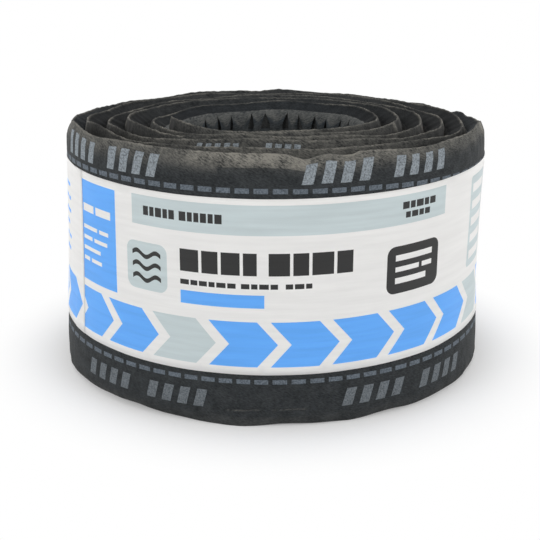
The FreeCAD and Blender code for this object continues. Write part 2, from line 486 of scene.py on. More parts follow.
# angle right of the front, half-width (both degrees), change of height and of lean in mm;
# angles beyond -180 are on the turns further in
DENTS = [
    (8, 3.6, -6.2, -0.8), (2, 9, -0.8, 0.3), (66, 3, 0.8, 1.4), (95, 3, -0.8, 0.8),
    (100, 2.5, -1.6, -1.0), (107, 3.5, 2.4, 0.8), (141, 9, -1.0, -0.8), (-38, 10, 0.6, 0.4),
    (-96, 7, 0.8, 0.6), (-113, 8, 3.0, 0.6), (-125, 18, -2.0, -0.6), (-156, 16, 2.0, 0),
    (135, 22, -2.2, 0), (180, 9, -2.5, -2.0), (-225, 28, -2.8, 0), (112, 10, -3.0, 0),
    (74, 9, 2.0, 0), (-176, 4.5, -2.6, 0), (-120, 8, -2.2, 0), (-92, 14, 0, -1.8),
    (-147, 7, -1.3, 0), (147, 8, -2.5, 0), (131, 4, -2.0, 0), (-66, 13, 13.0, 0),
    (-44, 13, 4.0, 0), (-74, 12, 0, -4.0), (70, 12, 8.0, 0), (52, 9, 2.5, 0),
    (14, 3, -1.0, 0), (17.8, 2.8, -3.6, 0), (-23, 9, 2.4, 0), (-426, 17, 8.5, 0),
    (-786, 17, 5, 0), (-1146, 17, 4, 0), (-1506, 17, 4, 0),
]  # fmt: skip
FOOT_DENTS = [
    (-68, 12, 0, 5), (-38, 6, 2.4, 0), (-10, 8, 0, 5), (4, 4.5, 1.5, 0),
    (19, 9, 0, 2.2), (34, 4, 1, 0), (50, 8, 0, 3), (70, 10, 0, 5),
]  # fmt: skip
right_of_front = table_angle - FRONT
for end, dents in (("", DENTS), ("foot_", FOOT_DENTS)):
    for place, half_width, change, shift in dents:
        dent = bump(right_of_front, math.radians(place), math.radians(half_width))
        UNEVEN[end + "rise"] += change * dent
        UNEVEN[end + "lean"] += shift * dent
print("dents:", len(DENTS) + len(FOOT_DENTS))

# %% [markdown]
# The turns have slipped along each other, so the rims stand higher at the front than at the
# back, each by its own amount, and the outer ones lean out at the sides. Where the turns bend
# round, a few upright folds stand out. At the front the end of the hem is a sharp crease.

# %% Slipped turns, folds and a crease
# mm above or below the mean rim at the back, left, front and right of each turn, inner to outer
RISE = [
    (-6, 2, 3.8, -1.5), (-6, -7, 5.2, -1), (-5, -1, 7, -5), (-5, -6, 8, -6.5),
    (-5.5, -3, 4.8, -5), (-6, -6, 5.1, -7.5), (-9, 0, 0, 0),
]  # fmt: skip
quarter = table_angle / (math.pi / 2)
before = np.floor(quarter).astype(int)
share = 0.5 - 0.5 * np.cos(math.pi * (quarter - before))
knots = np.ravel(RISE)
UNEVEN["rise"] += knots[before] * (1 - share) + knots[before + 1] * share
SIDE_LEAN, LEANS_FROM = 4.2, 4 * math.pi  # mm outwards at the sides, and the angle it starts at
leaning = np.clip((table_angle - LEANS_FROM) / math.pi + 0.5, 0, 1) * (table_angle < FRONT)
UNEVEN["lean"] += SIDE_LEAN * leaning * np.sin(table_angle) ** 2
# turn, counted from 0 at the inside, and degrees right of the front
FOLDS = [(1, 68), (2, 78), (3, 86), (4, 80), (5, 74), (3, 100), (2, -84), (4, -76)]
LAST_TURN, FOLD_STANDS, FOLD_HALF_WIDTH = 5, 1.5, math.radians(1.7)
UNEVEN["fold"] = np.zeros(TABLE_STEPS)
for turn, place in FOLDS:
    middle = FRONT - 2 * math.pi * (LAST_TURN - turn) + math.radians(place)
    UNEVEN["fold"] += FOLD_STANDS * bump(table_angle, middle, FOLD_HALF_WIDTH)
CREASE_STANDS, CREASE_FROM, CREASE_TO, CREASE_FADE = 0.7, -13, 8, 1.5  # mm, then degrees
FAR = 50  # times the fade: beyond this nothing is left of the crease
degrees = np.degrees(right_of_front)
begins = 1 + np.exp(np.clip(-(degrees - CREASE_FROM) / CREASE_FADE, -FAR, FAR))
ends = 1 + np.exp(np.clip((degrees - CREASE_TO) / CREASE_FADE, -FAR, FAR))
UNEVEN["crease"] = CREASE_STANDS / begins / ends
lowest, highest = UNEVEN["rise"].min(), UNEVEN["rise"].max()
print("rim height varies from", round(lowest, 1), "to", round(highest, 1), "mm")

# %% [markdown]
# A soft roll also spreads near the floor, mostly at its sides and more at the left, and the
# band draws it in above that. The last turn and the band round it share that form, so it is
# a function of the angle and the height, with its bends at heights where the mat has points.


# %% Points on the uneven mat
SPREAD_AT = (0, 36, 100, WIDTH - 100, WIDTH - 36, WIDTH)
SPREAD_LEFT = (9.7, 8.5, 3.6, 0.7, -1.6, 0)  # mm outwards at these heights
SPREAD_RIGHT = (4.0, 2.5, -1.6, -0.8, 0.3, 0)
RIM_REACH, FOOT_REACH = 34, 30  # mm from each edge over which its unevenness dies out
EASE, LEAN_EASE = 1.5, 1.6  # powers that let it die out softly, and the lean faster
FACE_DEPTH, FACE_BLEND = 11, 8  # from this depth a point moves with the facing, over this blend
SLOPE_FREE = 4  # mm of depth over which the slope comes free to pucker
PUCKER, FOLD, FOOT_PUCKER = (9, 7), (9, 9), (8, 6)  # mm from the edge and half-width
CREASE_HALF_WIDTH = 0.6
PINCH, PINCH_ANGLE, PINCH_EASE = 0.6, 0.3, 0.8  # the inner end is pressed thinner


def spread(from_front, height):
    """How far the last turn stands out at its sides, in mm."""
    left, right = (np.interp(height, SPREAD_AT, side) for side in (SPREAD_LEFT, SPREAD_RIGHT))
    return np.where(np.sin(from_front) < 0, left, right) * np.sin(from_front) ** 2


def mat_point(angle, depth, height):
    """World position in mm of a point of the mat, with all its unevenness."""
    below, above = WIDTH - height, height
    near_top = np.clip(1 - below / RIM_REACH, 0, 1) ** EASE
    near_foot = np.clip(1 - above / FOOT_REACH, 0, 1) ** EASE
    outer = np.clip((depth - FACE_DEPTH) / FACE_BLEND, 0, 1)
    pucker = bump(below, *PUCKER)
    depth = depth + uneven("lean", angle) * near_top**LEAN_EASE
    depth = depth + uneven("foot_lean", angle) * near_foot**LEAN_EASE
    depth = depth + pucker * outer * uneven("pucker_out", angle)
    depth = depth + bump(below, HEM_BELOW, CREASE_HALF_WIDTH) * outer * uneven("crease", angle)
    depth = depth + bump(below, *FOLD) * outer * uneven("fold", angle)
    free = np.clip(depth / SLOPE_FREE, 0, 1)
    depth = depth + pucker * (1 - outer) * uneven("pucker_in", angle) * free
    depth = depth + bump(above, *FOOT_PUCKER) * outer * uneven("pucker_out", angle)
    last_turn = outer * (angle > LAST_STARTS)
    depth = depth + last_turn * (uneven("wall", angle) + spread(angle - FRONT, height))
    height = height + uneven("rise", angle) * near_top + uneven("foot_rise", angle) * near_foot
    wound = np.clip((angle - HEAD) / PINCH_ANGLE, 0, 1)
    pinch = PINCH + (1 - PINCH) * wound**PINCH_EASE
    x, y = winding(angle, THICK - (THICK - depth) * pinch)
    return np.stack([x, y, height], axis=-1)


# %% [markdown]
# ## Making a mesh from arrays
# A strip this long is easiest to make as a grid: one column of points for each step along
# the strip, one row for each point of the section. One function turns a grid, or a list of
# triangles, into an object, gives it its material and ties it to the CAD body.


# %% Mesh helpers
def piece(name, points_mm, faces, materials):
    """A mesh object from points in mm and faces, riding on the CAD body."""
    mesh = bpy.data.meshes.new(name)
    mesh.from_pydata((np.asarray(points_mm) * MM).tolist(), [], [list(face) for face in faces])
    mesh.polygons.foreach_set("use_smooth", [True] * len(mesh.polygons))
    for material in materials:
        mesh.materials.append(material)
    made = bpy.data.objects.new(name, mesh)
    bpy.context.scene.collection.objects.link(made)
    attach(made, "root")
    return made


def grid_faces(columns, rows, closed):
    """Quads of a grid whose points run row by row within each column."""
    across = rows if closed else rows - 1
    c, r = np.meshgrid(np.arange(columns - 1), np.arange(across), indexing="ij")
    here, there = c * rows + r, c * rows + (r + 1) % rows
    return np.stack([here, here + rows, there + rows, there], -1).reshape(-1, 4)


def mark_fabric(made, wear_painted_light_and_shade, painted_shade, along_mm, across_mm):
    """Gives a fabric mesh its wear with painted light and shade, its painted shade black and its place on
    the flat strip.
    """
    for name, value in (("wear_painted_light_and_shade", wear_painted_light_and_shade), ("painted_shade", painted_shade)):
        mark = made.data.attributes.new(name, "FLOAT", "POINT")
        mark.data.foreach_set("value", np.ravel(value).astype(np.float32))
    flat = np.stack([along_mm, across_mm, np.zeros(np.shape(along_mm))], -1) * MM
    mark = made.data.attributes.new("on_strip", "FLOAT_VECTOR", "POINT")
    mark.data.foreach_set("vector", flat.ravel().astype(np.float32))


# %% [markdown]
# The steps along the strip are finer on the last turn, which shows most. The cut ends are
# closed with the section itself, and each row of faces takes the layer that shows there.

# %% The wound mat
INNER_STEPS, LAST_STEPS = 1150, 560
inner_turns = np.linspace(HEAD, LAST_STARTS, INNER_STEPS, endpoint=False)
steps = np.r_[inner_turns, np.linspace(LAST_STARTS, TAIL, LAST_STEPS)]
angle, row = np.meshgrid(steps, np.arange(len(SECTION)), indexing="ij")
points = mat_point(angle, SECTION[row, 0], SECTION[row, 1])
faces = grid_faces(len(steps), len(SECTION), closed=True).tolist()
first_end = list(range(len(SECTION)))
last_end = [(len(steps) - 1) * len(SECTION) + k for k in reversed(first_end)]
vent_mat = piece(
    "wound_vent_mat",
    points.reshape(-1, 3),
    faces + [first_end, last_end],
    [fabric, backing, filament],
)
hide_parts("vent_mat_roll")
print("mat triangles:", 2 * len(faces))

# %% Its layers
FACING, BACKING, CORE = 0, 1, 2  # the mat's materials
LINING, BARE = 6, 2  # rows of the section behind the flap in the bore, and without any fabric
edge_row = np.r_[np.arange(len(EDGE)), np.arange(len(EDGE))[::-1]]
layer_of_edge = np.full(len(EDGE), FACING)
layer_of_edge[: RIDGE - 1] = BACKING
layer_of_edge[:LINING] = FACING
layer_of_edge[:BARE] = CORE
layer = layer_of_edge[np.maximum(edge_row, np.roll(edge_row, -1))]
layer[-1] = CORE
layers = np.r_[np.tile(layer, len(steps) - 1), CORE, CORE]
vent_mat.data.polygons.foreach_set("material_index", layers)
print("faces of facing, backing and core:", np.bincount(layers))

# %% [markdown]
# The hem is rubbed pale, most of all along its fold, and unevenly along the strip. Where the
# inner turns shade each other at the sides, their hem is painted less brown and their black
# painted darker, as painted shade, least at the front and the back. Painted light lifts the
# slopes at the back and the lining in the bore, and the lower hem is less brown than the upper one.

# %% Where the fabric is worn, dusty or fresh
HEM_RUB, HEM_REACH = 0.62, 11.5  # wear of the hem, and mm below the fold where it has faded
FOLD_RUB = (0.25, 0.75, 0.85, 0.4)  # the pale line along the fold itself, row by row
FADE_MEAN, FADE_SWING, FADE_MM = 0.75, 0.3, (61.0, 143.0)  # it changes along the strip, in waves
FACED, SIDE_SHADE_SHARE, FACED_SHARE = 0.25, 0.08, 0.66  # inner turns: where they face out, their hem wear at the sides, cut there as painted shade, and what is added facing front and back
# more wear on the crease, a painted highlight on the upright folds, and only this share below the crease
CREASE_RUB, UPRIGHT_HIGHLIGHT, BELOW_CREASE = 0.85, 0.5, 0.25
PATCH_RUB, PATCH = 0.5, (-18, 5)  # a rubbed patch, degrees right of the front and half-width
TAB_RUB, TAB_ANGLE = 0.4, 0.035  # the inner end is rubbed over about 4 mm
FOLD_LESS_AT_BACK, FOOT_WEAR = 0.4, 0.08  # what the fold lacks at the back, and the lower hem's share
SLOPE_PAINTED_LIGHT, LINING_PAINTED_LIGHT, PAINTED_LIGHT_FROM = 0.095, 0.12, 1.5  # painted light on the back slopes and on the lining; on the slopes it starts at this many turns
BETWEEN_TURNS_SHADE, FACED_LESS_SHADE, BEHIND_LESS_SHADE = 0.85, 0.75, 0.85  # painted shade between the turns, and how much less of it where they face the front and on the back slopes
hem_wear, fold_wear = np.zeros((2, len(EDGE)))
hem_wear[RIDGE + 1 :] = HEM_RUB * np.exp(-((EDGE[RIDGE + 1 :, 1] / HEM_REACH) ** 3))
fold_wear[RIDGE - 2 : RIDGE + 2] = FOLD_RUB
edge = edge_row[row]
on_slope = edge < RIDGE
inside = angle < LAST_STARTS
length = length_wound(angle)
fading = FADE_MEAN + FADE_SWING * np.sin(length / FADE_MM[0]) * np.sin(length / FADE_MM[1] + 1.0)
towards = np.cos(angle - FRONT)
behind = np.clip(-towards, 0, 1)
towards = np.where(edge > RIDGE, np.abs(towards), towards)  # the slopes only in front
faced = np.clip((towards - FACED) / (1 - FACED), 0, 1)
# painted shade: at the sides, where the inner turns shade each other, their hem is kept less brown
fading[inside] *= (SIDE_SHADE_SHARE + FACED_SHARE * faced)[inside]
# painted light on the outer turns' slopes at the back, which face the front
back_slope_light = behind * np.clip(angle / (2 * math.pi) - PAINTED_LIGHT_FROM, 0, 1) * on_slope
crease = uneven("crease", angle) / CREASE_STANDS
rubbed = fading + PATCH_RUB * bump(np.degrees(angle - FRONT), *PATCH)
rubbed = rubbed + CREASE_RUB * crease + UPRIGHT_HIGHLIGHT * uneven("fold", angle)
wear_painted_light_and_shade_value = hem_wear[edge] * rubbed
wear_painted_light_and_shade_value += fold_wear[edge] * uneven("rub", angle) * (1 - FOLD_LESS_AT_BACK * behind) + SLOPE_PAINTED_LIGHT * back_slope_light
wear_painted_light_and_shade_value *= np.where(row < len(EDGE), 1.0, FOOT_WEAR)
wear_painted_light_and_shade_value += TAB_RUB * (edge >= RIDGE) * bump(angle, HEAD, TAB_ANGLE)
wear_painted_light_and_shade_value[(edge > HEM_EDGE) & (crease > 0.5)] *= BELOW_CREASE
# painted shade: black painted between the turns, less where they face the front and on the back slopes
painted_shade_value = inside * (BETWEEN_TURNS_SHADE - FACED_LESS_SHADE * faced - BEHIND_LESS_SHADE * behind * on_slope)
lining = (edge < LINING) & (angle < HEAD + 2 * math.pi)  # behind the flap in the bore
# painted light on the lining behind the flap, in place of painted shade
painted_shade_value[lining] = 0.0
wear_painted_light_and_shade_value[lining] = LINING_PAINTED_LIGHT
section_run = np.r_[0, np.cumsum(np.linalg.norm(np.diff(SECTION, axis=0), axis=1))]
mark_fabric(vent_mat, wear_painted_light_and_shade_value, painted_shade_value, length, section_run[row])
print("hem wear from", round(wear_painted_light_and_shade_value.min(), 2), "to", round(wear_painted_light_and_shade_value.max(), 2))

# %% [markdown]
# ## The loose flap in the bore
# Inside the first turn the wrapped fabric ends in a free flap that hangs down in the bore. It
# is gathered on a small circle, so it opens into petals with dark gaps between them, narrow
# at the top and wider below. Each petal is a small sheet of its own that starts on the slope
# behind the rim and bellies out towards the bore, and all petals at one end are one mesh. They
# are rubbed pale at the top; below a scalloped line painted shade makes them darker, and
# further down painted light lifts them again.

# %% Petals of the fabric flap
FLAP_TOP, GAP_TOP, FLAP_HANG = 11.0, 16.0, 46.0  # mm below the rim
FLAP_DEEP, END_FREE, LEAST_PETAL = 6, 2, 10  # mm into the mat, at each end, and at the last join
PETAL_MM, MOST_PETALS, PETAL_GRID = (12, 26), 70, (12, 16)
NARROWS_OVER, NARROWS_EASE = 15, 0.8  # mm of fall over which a petal narrows, and how softly
OFF_SLOPE, LEAST_BELLY, BELLY_TURN = 0.4, 2.6, 2.2  # the belly is widest at 0.7 of the fall
# each petal draws its own values from these ranges
HANG_SHARE, GAP_MOVES, NARROWS_BY = (0.85, 1.0), (-3, 3), (0.12, 0.42)
SWAY_MM, BELLY_MM, SKEW_MM = (-1.5, 3.0), (0.8, 3.0), (-2.5, 2.5)
SCALLOP_TOP, SCALLOP_MM, SCALLOP_BLEND = (2, 5), (5, 10), 1.8
PETAL_RUB, PETAL_PAINTED_LIGHT, PAINTED_LIGHT_TOP, PAINTED_LIGHT_BLEND = 0.3, 0.2, 25, 14  # rub at the top, painted light lower down, where that starts in mm below the rim, and its blend
flap_length = 2 * math.pi * (BORE + FLAP_DEEP)
joins = np.cumsum(rng.uniform(*PETAL_MM, MOST_PETALS))
joins = np.r_[END_FREE, joins[joins < flap_length - LEAST_PETAL], flap_length - END_FREE]
sides, falls = np.linspace(-0.5, 0.5, PETAL_GRID[0]), np.linspace(0, 1, PETAL_GRID[1])
across, fall = np.meshgrid(sides, falls, indexing="ij")
arch = np.cos(math.pi * across)
slope = EDGE[:RIDGE][::-1]
petals = []
for left, right in zip(joins[:-1], joins[1:]):
    hang = FLAP_HANG * rng.uniform(*HANG_SHARE)
    below = FLAP_TOP + (hang - FLAP_TOP) * fall
    fallen = np.clip((below - GAP_TOP - rng.uniform(*GAP_MOVES)) / NARROWS_OVER, 0, 1)
    width = (right - left) * (1 - rng.uniform(*NARROWS_BY) * fallen**NARROWS_EASE)
    place = (left + right) / 2 + across * width + rng.uniform(*SWAY_MM) * fall
    belly = LEAST_BELLY + rng.uniform(*BELLY_MM) * arch + rng.uniform(*SKEW_MM) * across
    depth = np.interp(below, slope[:, 1], slope[:, 0]) - OFF_SLOPE - belly * np.sin(BELLY_TURN * fall)
    scallop = GAP_TOP + rng.uniform(*SCALLOP_TOP) + rng.uniform(*SCALLOP_MM) * arch
    # painted shade: below the scalloped line each petal loses its hem brown
    dark = np.clip((below - scallop) / SCALLOP_BLEND, 0, 1)
    petals.append((below, depth, HEAD + place / flap_length * 2 * math.pi, dark))
petal_below, petal_depth, petal_angle, petal_shade_below_scallop = np.array(petals).swapaxes(0, 1)
# painted light: lower on the petals some brown is mixed back in
painted_light_low = np.clip((petal_below - PAINTED_LIGHT_TOP) / PAINTED_LIGHT_BLEND, 0, 1)
petal_wear_painted_light_and_shade = PETAL_RUB * (1 - petal_shade_below_scallop) + PETAL_PAINTED_LIGHT * painted_light_low
petal_painted_shade = np.zeros(petal_wear_painted_light_and_shade.shape)
one = grid_faces(*across.shape, closed=False)
faces = np.concatenate([one + k * across.size for k in range(len(petal_below))])
for end_name in ("top", "foot"):
    height = WIDTH - petal_below if end_name == "top" else petal_below
    points = mat_point(petal_angle, petal_depth, height).reshape(-1, 3)
    flap = piece(f"fabric_flap_{end_name}", points, faces, [flap_fabric])
    mark_fabric(flap, petal_wear_painted_light_and_shade, petal_painted_shade, petal_angle * BORE, petal_below)
print("petals:", len(petal_below))

# %% [markdown]
# ## The filament core
# The core shows in the bore and on the two cut ends: loops of nylon thrown down one over
# another. Each row here is one strand that runs round in loops like handwriting, and the
# strands cross. Every strand becomes a three-sided tube, and all tubes are one mesh.


# %% Tubes from lines of points
ASKEW = np.array([0.31, 0.52, 0.8])  # a direction that no strand follows for long


def tubes(lines, radius):
    """Points and faces of three-sided tubes along lines, an array of line, step, xyz in mm."""
    run = np.gradient(lines, axis=1)
    run /= np.linalg.norm(run, axis=2, keepdims=True)
    side = np.cross(run, ASKEW)
    side /= np.linalg.norm(side, axis=2, keepdims=True)
    up = np.cross(run, side)
    turns = [0, 2 * math.pi / 3, 4 * math.pi / 3]
    rings = [lines + radius * (math.cos(t) * side + math.sin(t) * up) for t in turns]
    points = np.stack(rings, axis=2)
    count, steps = lines.shape[:2]
    one = grid_faces(steps, 3, closed=True)
    faces = np.concatenate([one + i * steps * 3 for i in range(count)])
    return points.reshape(-1, 3), faces


# %% Strands in the bore
LOOP_MM, ROW_MM, STRAND_MM = 8.5, 11.0, 0.45  # from loop to loop, row to row, and a strand's radius
SWING_MM, WANDER_MM, DEPTH_MM = (8.5, 2.5), 3, (0.9, 1.3)  # means and changes of each loop
SWING_TURN, WANDER_TURN = 0.37, 0.61  # radians a loop
LOOP_STEPS, CLEAR_OF_FLAP, STRAND_ENDS = 10, 6, (0.001, 0.999)
rows = np.arange(FLAP_HANG + CLEAR_OF_FLAP, WIDTH - FLAP_HANG - CLEAR_OF_FLAP, ROW_MM)
loops = int(flap_length / LOOP_MM)
count = np.linspace(0, loops, loops * LOOP_STEPS)
strands = []
for z in rows:
    phase, drift = rng.uniform(0, 2 * math.pi, 2)
    around = 2 * math.pi * count + phase
    swing = SWING_MM[0] + SWING_MM[1] * np.sin(count * SWING_TURN + drift)
    share = (count + swing / LOOP_MM * np.sin(around)) / loops
    lift = swing * np.cos(around) + WANDER_MM * np.sin(count * WANDER_TURN + drift)
    depth = DEPTH_MM[0] + DEPTH_MM[1] * np.sin(math.pi * count + drift)
    angle = HEAD + np.clip(share, *STRAND_ENDS) * 2 * math.pi
    strands.append(mat_point(angle, depth, z + lift))
points, faces = tubes(np.array(strands), STRAND_MM)
piece("filament_in_bore", points, faces, [filament])
print("bore strand triangles:", 2 * len(faces))

# %% Strands on the cut ends
END_LOOPS, INSET = 110, 1e-6  # loops on each end, and the angle that keeps them on the mat
DEEP_MM, EDGE_FREE = (4.5, 17.5), 14  # where their middles lie, and mm kept free at each edge
WIDE_MM, TALL_MM, STAND_MM, LEAST_STAND = (2.5, 4.5), (4, 9), (0, 2.2), 0.3
TURN = np.linspace(0, 2 * math.pi, 13)
cut_loops = []
for angle_at, ahead in ((TAIL - INSET, -1.0), (HEAD + INSET, 1.0)):
    outwards = ahead * np.array([math.cos(angle_at), math.sin(angle_at)])
    for _ in range(END_LOOPS):
        deep, high = rng.uniform(*DEEP_MM), rng.uniform(EDGE_FREE, WIDTH - EDGE_FREE)
        wide, tall, lean = rng.uniform(*WIDE_MM), rng.uniform(*TALL_MM), rng.uniform(-1, 1)
        depth = deep + wide * np.cos(TURN) + lean * np.sin(TURN)
        loop = mat_point(np.full(TURN.shape, angle_at), depth, high + tall * np.sin(TURN))
        stand = LEAST_STAND + rng.uniform(*STAND_MM) * (0.5 + 0.5 * np.cos(TURN + lean * 3))
        loop[:, :2] += stand[:, None] * outwards
        cut_loops.append(loop)
points, faces = tubes(np.array(cut_loops), STRAND_MM)
piece("filament_at_cut_ends", points, faces, [filament])
print("cut-end loops:", len(cut_loops))

# %% [markdown]
# ## The paper band
# The band goes once round the roll and laps over itself at the left of the front. At the
# back it is pulled straight from the mat's outer cut end to the turn below. Its line round
# the roll is worked out once, as points in plan with their distance along the band, so that
# anything drawn on the flat paper can be wrapped by looking up its distance.

# %% Line of the band round the roll
BAND_LOW, BAND_HIGH, BAND_OFF = 57.0, 231.0, 0.45  # its edges, and how far it is off the mat
ROUND_STEPS, BRIDGE_STEPS = 1600, 80
small = BORE + (HALF_TURNS / 2 + 0.5) * THICK - THICK / 2  # radius of the turn below, at the back
touch = math.acos(small / (small + THICK))  # the band meets it this far on
bend = np.linspace(LAST_STARTS + touch, TAIL - INSET, ROUND_STEPS)
line = np.stack(winding(bend, THICK + BAND_OFF), -1)
bridge = line[-1] + np.linspace(0, 1, BRIDGE_STEPS)[1:-1, None] * (line[0] - line[-1])
line = np.r_[line, bridge, line[:1]]
distance = np.r_[0, np.cumsum(np.linalg.norm(np.diff(line, axis=0), axis=1))]
BAND_LENGTH = distance[-1]
front_at = np.interp(FRONT, bend, distance[: len(bend)])
turned = np.r_[bend - FRONT, np.linspace(math.pi, math.pi + touch, BRIDGE_STEPS - 1)]
corner_at = distance[len(bend) - 1]  # the band bends over the corner of the cut end
CORNER_LIFT, CORNER_MM = 0.4, 9.0
BOW_FRONT, BOW_SIDE = -1.2, 2.1  # the band sits this much lower in front and higher at the sides
DIPS = -0.1  # mm that the paper may dip towards the mat
run = np.gradient(line, axis=0)
outward = np.stack([run[:, 1], -run[:, 0]], -1) / np.linalg.norm(run, axis=1)[:, None]


def band_point(right, height, lift):
    """World position in mm: distance right of the front, height, and lift off the roll."""
    at = (right + front_at) % BAND_LENGTH
    angle = np.interp(at, distance, turned)
    height = height + BOW_FRONT + (BOW_SIDE - BOW_FRONT) * np.sin(angle) ** 2
    lift = lift + spread(angle, height) + np.maximum(uneven("wall", angle + FRONT), DIPS)
    lift = lift + CORNER_LIFT * bump(at, corner_at, CORNER_MM)
    plan = [
        np.interp(at, distance, line[:, i]) + lift * np.interp(at, distance, outward[:, i])
        for i in (0, 1)
    ]
    return np.stack([*plan, height], -1)


print("band length:", round(BAND_LENGTH), "mm")

# %% [markdown]
# The print is flat shapes of ink on white: a grey strip under the upper edge, a row of
# arrows along the lower edge as a sign of moving air, a panel, a tag and rows of plain blocks.
# Each shape is a list of points in millimetres, to the right of the middle of the front and
# up from the band's lower edge. The set is drawn again on the back.


# %% Kinds of printed shape
def bar(left, low, right, high):
    """A plain rectangle."""
    return [(left, low), (right, low), (right, high), (left, high)]


def rounded(left, low, right, high, radius):
    """A rectangle with round corners."""
    corners = ((right, high, 0), (left, high, 90), (left, low, 180), (right, low, 270))
    outline = []
    for x, y, turn in corners:
        x += radius if x == left else -radius
        y += radius if y == low else -radius
        for angle in np.radians(np.linspace(turn, turn + 90, 7)):
            outline.append((x + radius * math.cos(angle), y + radius * math.sin(angle)))
    return outline


def wave(left, middle, right, swing, thick):
    """A line of one and a half waves."""
    x = np.linspace(left, right, 25)
    y = middle + swing * np.sin((x - left) / (right - left) * 3 * math.pi)
    return [*zip(x, y - thick / 2), *zip(x[::-1], y[::-1] + thick / 2)]


def arrow(left, low, long, tall, point):
    """A broad arrow to the right, notched at its left end."""
    tip, notch = (left + long + point, low + tall / 2), (left + point, low + tall / 2)
    return [(left, low), (left + long, low), tip, (left + long, low + tall), (left, low + tall), notch]


def blocks(ink, left, low, high, widths, gap):
    """A row of plain blocks of these widths."""
    lefts = left + np.cumsum([0, *widths[:-1]]) + gap * np.arange(len(widths))
    return [(ink, bar(x, low, x + wide, high)) for x, wide in zip(lefts, widths)]


def finely(outline, step):
    """The same outline with points close enough together to bend round the roll."""
    fine = []
    for (x0, y0), (x1, y1) in zip(outline, outline[1:] + outline[:1]):
        parts = max(1, math.ceil(math.hypot(x1 - x0, y1 - y0) / step))
        fine += [(x0 + (x1 - x0) * k / parts, y0 + (y1 - y0) * k / parts) for k in range(parts)]
    return fine


# %% The print, in drawing order
HALF_BAND = BAND_LENGTH / 2
PANEL_ROWS = ((28, 16), (18, 24), (34,), (12, 20))  # widths of the blocks, row by row
SIDE_ROWS = ((30,), (18, 12), (34,), (24,), (14, 16), (28,))
shapes = []
for c in (0.0, HALF_BAND):
    shapes.append(("grey", bar(c - 142, 139, c + 192, 168)))
    shapes += blocks("dark", c - 128, 149, 158, (6, 5, 7, 5, 6), 1.5)
    shapes += blocks("dark", c - 88, 149, 158, (7, 5, 5, 6, 5, 7), 1.5)
    shapes += blocks("dark", c + 132, 154, 161, (8, 6, 9, 6, 8), 1.5)
    shapes += blocks("dark", c + 136, 145, 151, (6, 8, 6, 7), 1.5)
    shapes += blocks("dark", c - 88, 100, 122, (19, 16, 18, 13), 3)
    shapes += blocks("dark", c - 2, 100, 122, (20, 15, 21, 16), 3)
    shapes += blocks("dark", c - 88, 87, 92, (9, 7, 8, 6, 9, 8), 1.6)
    shapes += blocks("dark", c - 28, 87, 92, (8, 6, 9, 7), 1.6)
    shapes += blocks("dark", c + 14, 87, 92, (7, 9, 6), 1.6)
    shapes += blocks("blue", c - 88, 68, 81, (82,), 0)
    shapes.append(("grey", rounded(c - 150, 74, c - 102, 122, 9)))
    shapes += [("dark", wave(c - 143, y, c - 109, 2.6, 4.5)) for y in (86, 98, 110)]
    shapes.append(("dark", rounded(c + 116, 70, c + 184, 118, 9)))
    shapes += blocks("white", c + 126, 103, 109, (48,), 0)
    shapes += blocks("white", c + 126, 92, 97, (30, 14), 4)
    shapes += blocks("white", c + 126, 80, 86, (40,), 0)
    shapes.append(("blue", bar(c - 236, 62, c - 166, 166)))
    shapes += blocks("white", c - 226, 134, 142, (22, 26), 4)
    for k, widths in enumerate(PANEL_ROWS):
        shapes += blocks("white", c - 226, 116 - 11 * k, 120 - 11 * k, widths, 4)
    for k, widths in enumerate(SIDE_ROWS):
        shapes += blocks("blue", c - 306, 146 - 14 * k, 150 - 14 * k, widths, 4)
    shapes.append(("grey", rounded(c + 250, 66, c + 304, 164, 4)))
    shapes += [("white", bar(c + 256, y, c + 298, y + 9)) for y in (74, 92, 110, 128, 146)]
ARROWS, ARROW_GAP = 24, 13.0  # one in six is grey
pitch = BAND_LENGTH / ARROWS
for k in range(ARROWS):
    colour = "grey" if k % 6 == 4 else "blue"
    shapes.append((colour, arrow(k * pitch - HALF_BAND, 8, pitch - ARROW_GAP, 46, 20)))
print("print shapes:", len(shapes))

# %% [markdown]
# A constrained Delaunay triangulation cuts the flat paper along the edges of every shape,
# so the print has sharp edges without any image. A grid of extra points keeps the triangles
# small enough to bend round the roll. Each triangle takes the ink of the last shape on it.

# %% Cut the flat paper along the print
LAP, LAP_RAMP, LAP_LIFT = 24.0, 4.0, 0.4  # its length, the rise up to it, and its height in mm
SEAM = -252.0  # the lap is left of the front
FINE_MM, STEPS_ALONG, STEPS_UP, MARGIN = 6.0, 241, 14, 0.5  # of the outlines, the grid and the ends
FILL_HULL, WELD = 0, 1e-4  # triangles all over, and points this close become one
TALL = BAND_HIGH - BAND_LOW
start, stop = SEAM, SEAM + BAND_LENGTH + LAP
flat_points, flat_faces, face_inks = [], [], []
bends = (corner_at - front_at, stop - LAP - LAP_RAMP, stop - LAP)  # the paper bends here
for x in np.union1d(np.linspace(start, stop, STEPS_ALONG), bends):
    for y in np.linspace(0, TALL, STEPS_UP):
        flat_points.append((x, y))
for ink, outline in shapes:
    for shift in (-BAND_LENGTH, 0.0, BAND_LENGTH):
        moved = [(x + shift, y) for x, y in finely(outline, FINE_MM)]
        if min(moved)[0] < start + MARGIN or max(moved)[0] > stop - MARGIN:
            continue
        flat_faces.append(list(range(len(flat_points), len(flat_points) + len(moved))))
        flat_points += moved
        face_inks.append(ink)
cut = delaunay_2d_cdt(flat_points, [], flat_faces, FILL_HULL, WELD, True)
cut_points, _, cut_faces, _, _, shapes_on = cut
cut_points = np.array([tuple(p) for p in cut_points])
cut_faces = np.array(cut_faces)
print("flat paper:", len(cut_points), "points,", len(cut_faces), "triangles")

